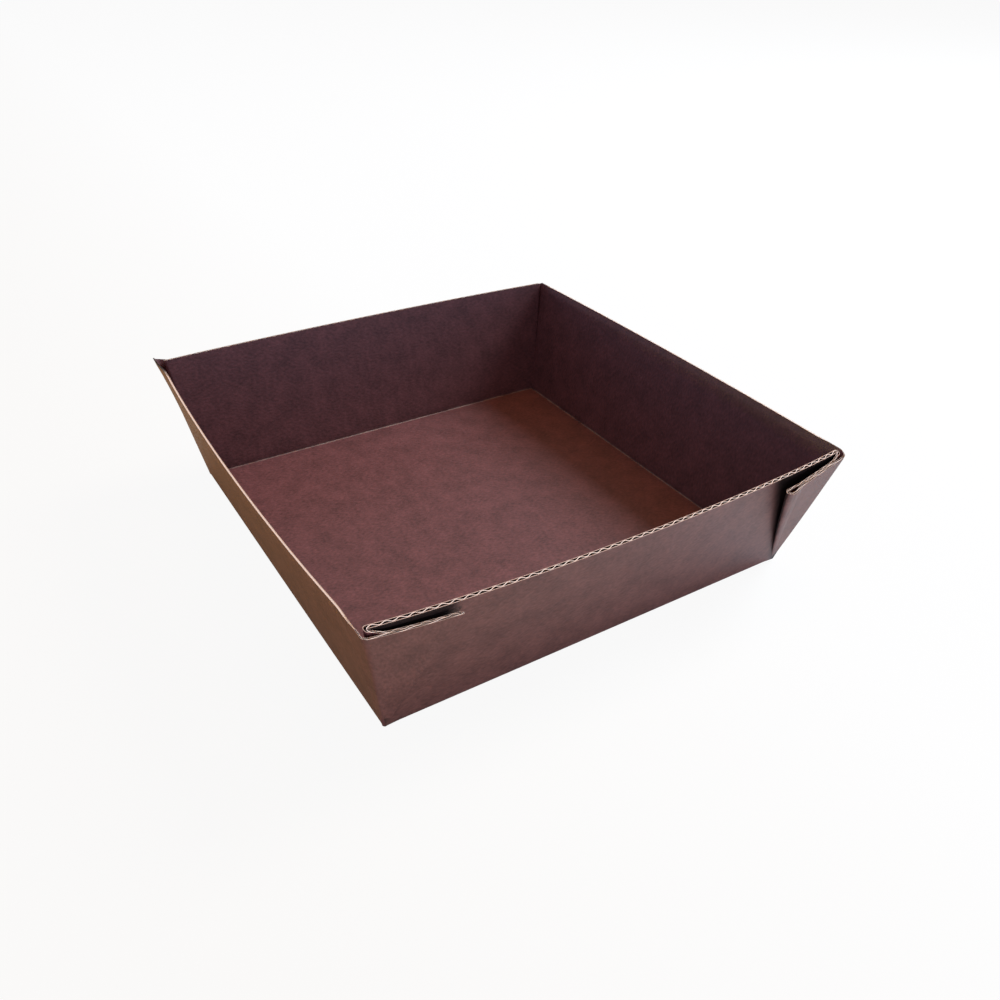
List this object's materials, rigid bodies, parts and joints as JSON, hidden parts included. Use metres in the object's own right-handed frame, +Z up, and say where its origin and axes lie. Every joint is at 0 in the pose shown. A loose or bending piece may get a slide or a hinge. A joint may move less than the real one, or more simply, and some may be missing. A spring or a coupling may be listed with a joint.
{
  "type": "paper baking mold",
  "caption": "Square flared baking tray folded from one sheet of fine corrugated board, with uncut corners folded flat on two walls.",
  "frame": {"origin": "middle of the underside of the floor, on the table", "axes": "+Z up through the open top; X along the front and back walls, which carry the corner flaps; -Y towards the front wall"},
  "size_m": [0.1556, 0.1576, 0.0415],
  "materials": {
    "coated_board": "coated brown board with a slight sheen, pale pink-cream core at the cut edges"
  },
  "bodies": {
    "root": {"folded_tray": "coated_board"}
  },
  "joints": []
}
